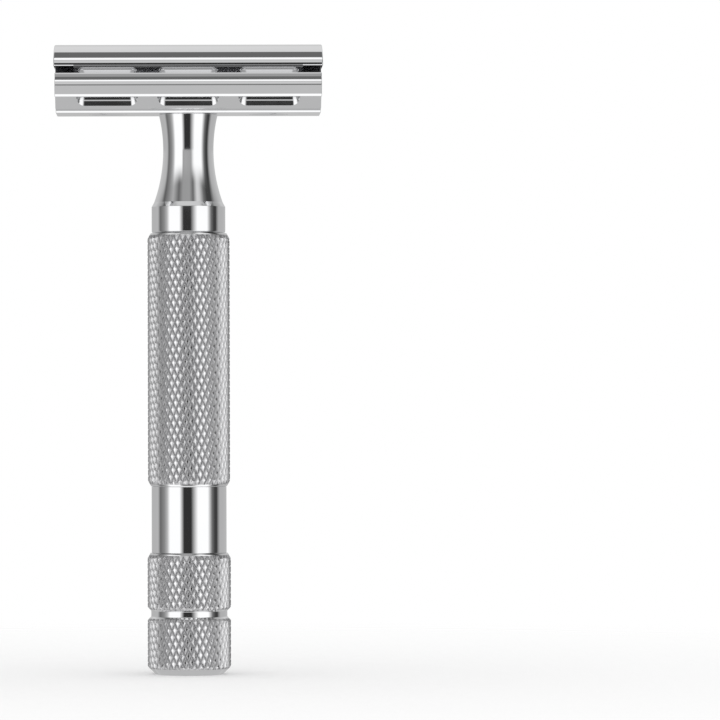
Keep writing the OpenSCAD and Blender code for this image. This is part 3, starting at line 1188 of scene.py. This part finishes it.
def room_greys(angle, stops):
    span = add_node(world, "ShaderNodeMapRange")
    span.inputs["From Min"].default_value = -math.pi
    span.inputs["From Max"].default_value = math.pi
    tree.links.new(angle, span.inputs["Value"])
    ramp = add_node(world, "ShaderNodeValToRGB")
    while len(ramp.color_ramp.elements) < len(stops):
        ramp.color_ramp.elements.new(0.5)
    for element, (degrees, grey) in zip(ramp.color_ramp.elements, stops):
        element.position = (degrees + 180) / 360
        element.color = (grey, grey, grey, 1)
    tree.links.new(span.outputs[0], ramp.inputs[0])
    return ramp.outputs["Color"]


def room_mix(fac, first, second):
    node = add_node(world, "ShaderNodeMix", data_type="RGBA")
    tree.links.new(fac, node.inputs[0])
    tree.links.new(first, node.inputs[6])
    tree.links.new(second, node.inputs[7])
    return node.outputs[2]


look = add_node(world, "ShaderNodeTexCoord")
ways = add_node(world, "ShaderNodeSeparateXYZ")
tree.links.new(look.outputs["Generated"], ways.inputs[0])
forward = room_math("MULTIPLY", ways.outputs["Y"])
forward.node.inputs[1].default_value = -1.0
around = room_math("ARCTAN2", ways.outputs["X"], forward)
over = room_math("ARCTAN2", ways.outputs["Z"], forward)
height = room_math("ARCSINE", ways.outputs["Z"])
print("room directions ready")


# %% Set the greys of the room
white = 1.0
black = 0.03

left_side = [(-112, 0.45), (-100, 0.13), (-82, 0.25), (-71, 0.45), (-61, white), (-29, white)]
right_side = [(28, white), (60, white), (67, 0.55), (75, 0.16), (86, 0.05), (95, 0.04)]
right_side += [(101, 0.22), (110, 0.42)]
card_front = [(-22, 0.42), (-16, black), (6.5, black), (15, 0.38)]
open_front = [(-24, 0.33), (-15, 0.38), (12, 0.34), (22, 0.85)]
card_belt = [(-150, 0.42), *left_side, *card_front, *right_side, (150, 0.44)]
open_belt = [(-150, 0.5), *left_side, *open_front, *right_side, (150, 0.5)]
upper_belt = [(-150, 0.62), (-112, 0.3), (-100, 0.1), (-81, 0.24), (-62, 0.4), (-39, 0.13)]
upper_belt += [(-22, 0.31), (4, 0.32), (19, 0.13), (35, 0.64), (44, 0.58), (61, 0.15)]
upper_belt += [(75, 0.05), (92, 0.05), (108, 0.3), (125, 0.4), (150, 0.62)]
arch = [
    (-180, 0.46),
    (-78, 0.46),
    (-71, white),
    (-46, white),
    (-38, 0.49),
    (-20, 0.49),
    (0, 0.4),
    (45, 0.33),
    (50, 0.58),
    (62, 0.58),
    (69, 0.46),
    (73, white),
    (82, white),
    (85, 0.13),
    (133, 0.13),
    (137, 0.62),
    (180, 0.5),
]
dip = room_math("MULTIPLY", height)
dip.node.inputs[1].default_value = -1.0
card_top = room_span(height, 4, 2.2)
card_foot = room_span(dip, 29, 25)
card = room_math("MULTIPLY", card_top, card_foot)
belt = room_mix(card, room_greys(around, open_belt), room_greys(around, card_belt))
walls = room_mix(room_span(height, 12, 28), belt, room_greys(around, upper_belt))
ceiling = room_mix(room_span(height, 47, 53), walls, room_greys(over, arch))
room = room_mix(room_span(dip, 30, 34), ceiling, room_greys(over, arch))
print("greys in the belts:", len(card_belt), len(upper_belt), "and in the arch:", len(arch))


# %% Light the scene and show white behind it
path = add_node(world, "ShaderNodeLightPath")
glow = add_node(world, "ShaderNodeBackground")
glow.inputs["Strength"].default_value = 1.25
tree.links.new(room, glow.inputs["Color"])
even = add_node(world, "ShaderNodeBackground")
even.inputs["Color"].default_value = (1, 1, 1, 1)
even.inputs["Strength"].default_value = 1.0
pick = add_node(world, "ShaderNodeMixShader")
tree.links.new(path.outputs["Is Glossy Ray"], pick.inputs[0])
tree.links.new(even.outputs[0], pick.inputs[1])
tree.links.new(glow.outputs[0], pick.inputs[2])
sky = add_node(world, "ShaderNodeOutputWorld")
tree.links.new(pick.outputs[0], sky.inputs[0])
print("studio lit")


# %% [markdown]
# ## The camera
# The photograph looks square at the front of the razor from a little under a metre, with a
# long lens, and from slightly below the middle. The razor stands left of the middle of the
# frame, so the lens is shifted sideways rather than the camera, which keeps the view square.

# %% Place the camera
distance = 0.82
camera_z = 0.0445
aim_z = 0.0512
roll = -0.0022
frame_width = 0.11746
lens_data = bpy.data.cameras.new("camera")
sensor_width = 36.0
lens_data.sensor_width = sensor_width
lens_data.lens = sensor_width * distance / frame_width
lens_data.shift_x = 0.2378
camera = bpy.data.objects.new("camera", lens_data)
bpy.context.collection.objects.link(camera)
camera.location = (0, -distance, camera_z)
aim = Vector((0, 0, aim_z)) - camera.location
level_view = aim.to_track_quat("-Z", "Y")
camera.rotation_euler = (level_view @ Quaternion((0, 0, 1), roll)).to_euler()
bpy.context.scene.camera = camera
bpy.context.scene.view_settings.view_transform = "Standard"
print("camera lens:", round(lens_data.lens, 1), "mm")


# %% [markdown]
# ## The finished size
# The finished pieces must fill the same box as the measured solids, so the box of the
# finished pieces is printed at the end.

# %% Print the size of the finished razor
low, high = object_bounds()
print("box:", [round(1000 * (b - a), 2) for a, b in zip(low, high)])
